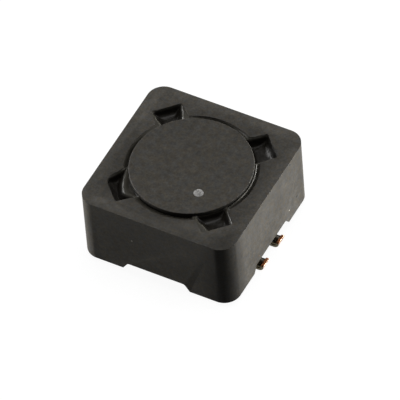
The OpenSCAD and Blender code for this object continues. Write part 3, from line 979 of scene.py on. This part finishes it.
def pocketSurface(k, u, t):
    # height of the glue in pocket k against the shield's top face
    g, s = glueShape, shieldShape
    p = g["pockets"][k]
    toEnd = s["pocketReach"] - u
    toDrum = math.hypot(u, t) - drumRadius
    inwards = min(1.0, max(0.0, toEnd / g["wall"]))
    parts = [p["end"][1] * math.exp(-max(0.0, toEnd) / p["end"][0]),
             g["drumShare"] * math.exp(-max(0.0, toDrum) / p["drum"])]
    for side, fill in zip((1, -1), p["fill"]):
        toCrest = pocketHalf(k, side, u) - side * t - between(fill, inwards)
        parts.append(math.exp(-(max(0.0, toCrest) / fill[3]) ** 2))
    climb = min(1.0, sum(part ** 3 for part in parts) ** (1 / 3))
    z = -p["depth"] + (p["depth"] + g["top"]) * climb
    if k == s["wornPocket"]:
        z = max(z, beadHeight(u, t, p["depth"]))
    past = max(t - pocketHalf(k, 1, u), -t - pocketHalf(k, -1, u))
    if past > 0:
        ring = ringSurface(math.hypot(u, t), math.radians(45 + 90 * k) + math.atan2(t, u))
        z += (ring - z) * ease(past / g["step"])
    z += g["waves"] * uneven((u, t, k), 0.6, k)
    return z + g["ripples"] * uneven((u, t, k), 0.2, k)


def pocketGlue(k):
    # the plug of one pocket, bedded a little into the walls round it
    g, s = glueShape, shieldShape
    piece = addSlab("glueBody%d" % (k + 1), g["cells"])
    for vertex in piece.data.vertices:
        across, outward = 2 * vertex.co.x, vertex.co.y + 0.5
        side = 1 if across > 0 else -1
        nominal = g["start"] + outward * (s["pocketReach"] - g["start"])
        lips = g["lip"] * ease((g["lipFrom"] - nominal) / g["lipLength"])
        t = across * (pocketHalf(k, side, nominal) + g["wet"] + lips)
        inner = math.sqrt(drumRadius ** 2 - t * t) - g["wet"]
        u = inner + outward * (s["pocketReach"] + g["wet"] - inner)
        z = -g["low"] if vertex.co.z < -0.5 else pocketSurface(k, u, t)
        vertex.co = Vector((u, t, shieldTop + z))
    return turned(piece, 45 + 90 * k)


def ringGlue(k, side):
    # one run of glue in the ring gap, swept round from the edge of its pocket
    g, r = glueShape, ringShape
    bore = shieldShape["bore"]
    inner, outer = drumRadius - g["wet"], bore + g["wet"]
    deselectAll()
    bpy.ops.mesh.primitive_plane_add(size=1, location=((inner + outer) / 2, 0, 0),
                                     rotation=(math.pi / 2, 0, 0))
    piece = named("glueRun")
    piece.scale = (outer - inner, 1, 1)
    setPlace()
    edit(piece)
    choose("EDGE", lambda e: middle(e).z > 0.4)
    bpy.ops.mesh.subdivide(number_cuts=r["across"])
    selectAll()
    bpy.ops.mesh.spin(steps=r["steps"], angle=math.radians(r["reach"]), center=(0, 0, 0),
                      axis=(0, 0, 1))
    weld(0.0005)
    bpy.ops.mesh.select_non_manifold(extend=False)
    bpy.ops.mesh.fill_holes(sides=0)
    endEdit()
    start = math.degrees(math.asin(mouthHalf(k, side) / bore)) + r["offset"]
    for vertex in piece.data.vertices:
        here = abs(math.degrees(math.atan2(vertex.co.y, vertex.co.x)))
        radius = vertex.co.xy.length
        turn = math.radians(45 + 90 * k + side * (start + here))
        z = -g["low"]
        if vertex.co.z > 0.4:
            z = ringSurface(radius, turn)
            z += g["waves"] * uneven((turn * 4, radius, k), 0.7, k + 3)
        vertex.co = Vector((radius * math.cos(turn), radius * math.sin(turn), shieldTop + z))
    return piece


def makeGlue(k):
    piece = join([pocketGlue(k), ringGlue(k, -1), ringGlue(k, 1)])
    edit(piece)
    faceOutwards()
    endEdit()
    bpy.ops.object.shade_smooth_by_angle(angle=math.radians(50))
    toFrame(piece, [pocketEpoxy], "glue_%d" % (k + 1))


for k in range(4):
    makeGlue(k)
print("glue modelled")


def markingInk(name):
    # A drop of white marking ink: chalky, thin at its rim so that the grey shows through.
    material, tree, shader, place = newMaterial(name)
    thin = addNode(tree, "ShaderNodeTexNoise", {"Scale": 1 / (0.16 * mm), "Detail": 3.0},
                   {"Vector": place}).outputs["Fac"]
    tone = addNode(tree, "ShaderNodeValToRGB", {
        "stops": ((0.35, hexColour("#595856")), (0.6, hexColour("#82817f")))},
        {"Fac": thin}).outputs["Color"]
    tree.links.new(tone, shader.inputs["Base Color"])
    shader.inputs["Roughness"].default_value = 0.5
    shader.inputs["Specular IOR Level"].default_value = 0.2
    bump = addNode(tree, "ShaderNodeBump", {"Distance": 0.008 * mm, "Strength": 0.5},
                   {"Height": thin}).outputs["Normal"]
    tree.links.new(bump, shader.inputs["Normal"])
    return material


whiteInk = markingInk("white_marking_ink")
# height of the rim and of the dome over it as shares of the ink's thickness, and its fullness
inkShape = {"rings": 9, "sunk": 0.01, "wobble": 0.02, "rim": 0.08, "dome": 0.9, "full": 0.8}


def makeInk():
    # the drop is a low dome with a slightly ragged outline
    s = inkShape
    low, high = boxMm("pin_dot")
    radius, tall = (high.x - low.x) / 2, high.z - low.z
    piece = addRound("inkDrop", radius, low.z - s["sunk"], high.z, 56)
    edit(piece)
    choose("FACE", lambda f: f.normal.z > 0.9)
    for ring in range(s["rings"]):
        bpy.ops.mesh.inset(thickness=radius / (s["rings"] + 1))
    endEdit()
    for vertex in piece.data.vertices:
        flat = vertex.co.xy
        away = flat.length / radius
        if vertex.co.z > low.z:
            dome = s["dome"] * max(0.0, 1 - away ** 2) ** s["full"]
            vertex.co.z = low.z + tall * (s["rim"] + dome)
        ragged = 1 - s["wobble"] * (1 + uneven((flat.x, flat.y, 0), 0.15)) * away
        vertex.co.x, vertex.co.y = flat.x * ragged, flat.y * ragged
    centre = (low + high) / 2
    turned(piece, 0, (centre.x, centre.y, 0))
    evenShading(piece, 60)
    toFrame(piece, [whiteInk], "pin_dot")


makeInk()
print("dot modelled")

# floor: width and height in metres, its grey, and how white it shows; world: its two levels
stage = {"floor": 4.0, "floorZ": -0.00002, "grey": 0.10, "white": 0.93,
         "ambient": 0.03, "around": 1.0}


def seenOrMirrored(tree):
    # 1 for the camera and for what metal and gloss mirror, 0 for light on matt surfaces
    path = addNode(tree, "ShaderNodeLightPath").outputs
    mirrored = addNode(tree, "ShaderNodeMath", {"operation": "MAXIMUM"},
                       {0: path["Is Glossy Ray"], 1: path["Is Transmission Ray"]}).outputs[0]
    return addNode(tree, "ShaderNodeMath", {"operation": "MAXIMUM"},
                   {0: path["Is Camera Ray"], 1: mirrored}).outputs[0]


def makeFloor():
    deselectAll()
    bpy.ops.mesh.primitive_plane_add(size=stage["floor"], location=(0, 0, stage["floorZ"]))
    setPlace()
    floor = named("floor")
    material = bpy.data.materials.new("white_paper")
    material.use_nodes = True
    tree = material.node_tree
    tree.nodes.clear()
    seen = seenOrMirrored(tree)
    lit = addNode(tree, "ShaderNodeBsdfDiffuse", {"Color": grey(stage["grey"])}).outputs[0]
    white = addNode(tree, "ShaderNodeEmission", {"Color": grey(1.0),
                                                 "Strength": stage["white"]}).outputs[0]
    both = addNode(tree, "ShaderNodeAddShader", None, {0: white, 1: lit}).outputs[0]
    mix = addNode(tree, "ShaderNodeMixShader", None, {0: seen, 1: lit, 2: both}).outputs[0]
    addNode(tree, "ShaderNodeOutputMaterial", None, {"Surface": mix})
    floor.data.materials.append(material)


lamps = {
    # direction as azimuth from +X and elevation, size in metres, strength at the part
    "rightBox": {"azimuth": 50, "elevation": 3, "size": (0.45, 0.04), "level": 4.6, "matt": True},
    "leftBox": {"azimuth": 182, "elevation": 3, "size": (0.30, 0.04), "level": 3.4, "matt": True},
    "topBox": {"azimuth": 100, "elevation": 80, "size": (0.30, 0.30), "level": 0.73, "matt": True},
    # two cards that only show in gloss, as the bright edges of a light tent do
    "rightCard": {"azimuth": 40, "elevation": 20, "size": (0.90, 0.22), "level": 2.0,
                  "matt": False},
    "leftCard": {"azimuth": 178, "elevation": 25, "size": (0.35, 0.22), "level": 2.4,
                 "matt": False},
}
lampDistance = 0.5     # metres from the part


def makeLamp(name):
    s = lamps[name]
    a, e = math.radians(s["azimuth"]), math.radians(s["elevation"])
    way = Vector((math.cos(a) * math.cos(e), math.sin(a) * math.cos(e), math.sin(e)))
    data = bpy.data.lights.new(name, "AREA")
    data.shape = "RECTANGLE"
    data.size, data.size_y = s["size"]
    # watts that give a white card facing the lamp the wanted level
    data.energy = s["level"] * math.pi ** 2 * lampDistance ** 2
    lamp = bpy.data.objects.new(name, data)
    bpy.context.collection.objects.link(lamp)
    lamp.location = way * lampDistance + Vector((0, 0, 3 * mm))
    lamp.rotation_mode = "QUATERNION"
    lamp.rotation_quaternion = way.to_track_quat("Z", "Y")
    lamp.visible_camera = False
    lamp.visible_diffuse = s["matt"]


def makeWorld():
    world = bpy.data.worlds.new("studio")
    bpy.context.scene.world = world
    world.use_nodes = True
    tree = world.node_tree
    tree.nodes.clear()
    seen = seenOrMirrored(tree)
    ambient = addNode(tree, "ShaderNodeBackground", {"Color": grey(1.0),
                                                     "Strength": stage["ambient"]}).outputs[0]
    white = addNode(tree, "ShaderNodeBackground", {"Color": grey(1.0),
                                                   "Strength": stage["around"]}).outputs[0]
    mix = addNode(tree, "ShaderNodeMixShader", None, {0: seen, 1: ambient, 2: white}).outputs[0]
    addNode(tree, "ShaderNodeOutputWorld", None, {"Surface": mix})


makeFloor()
for name in lamps:
    makeLamp(name)
makeWorld()
bpy.context.scene.view_settings.view_transform = "Standard"
print("stage lit")
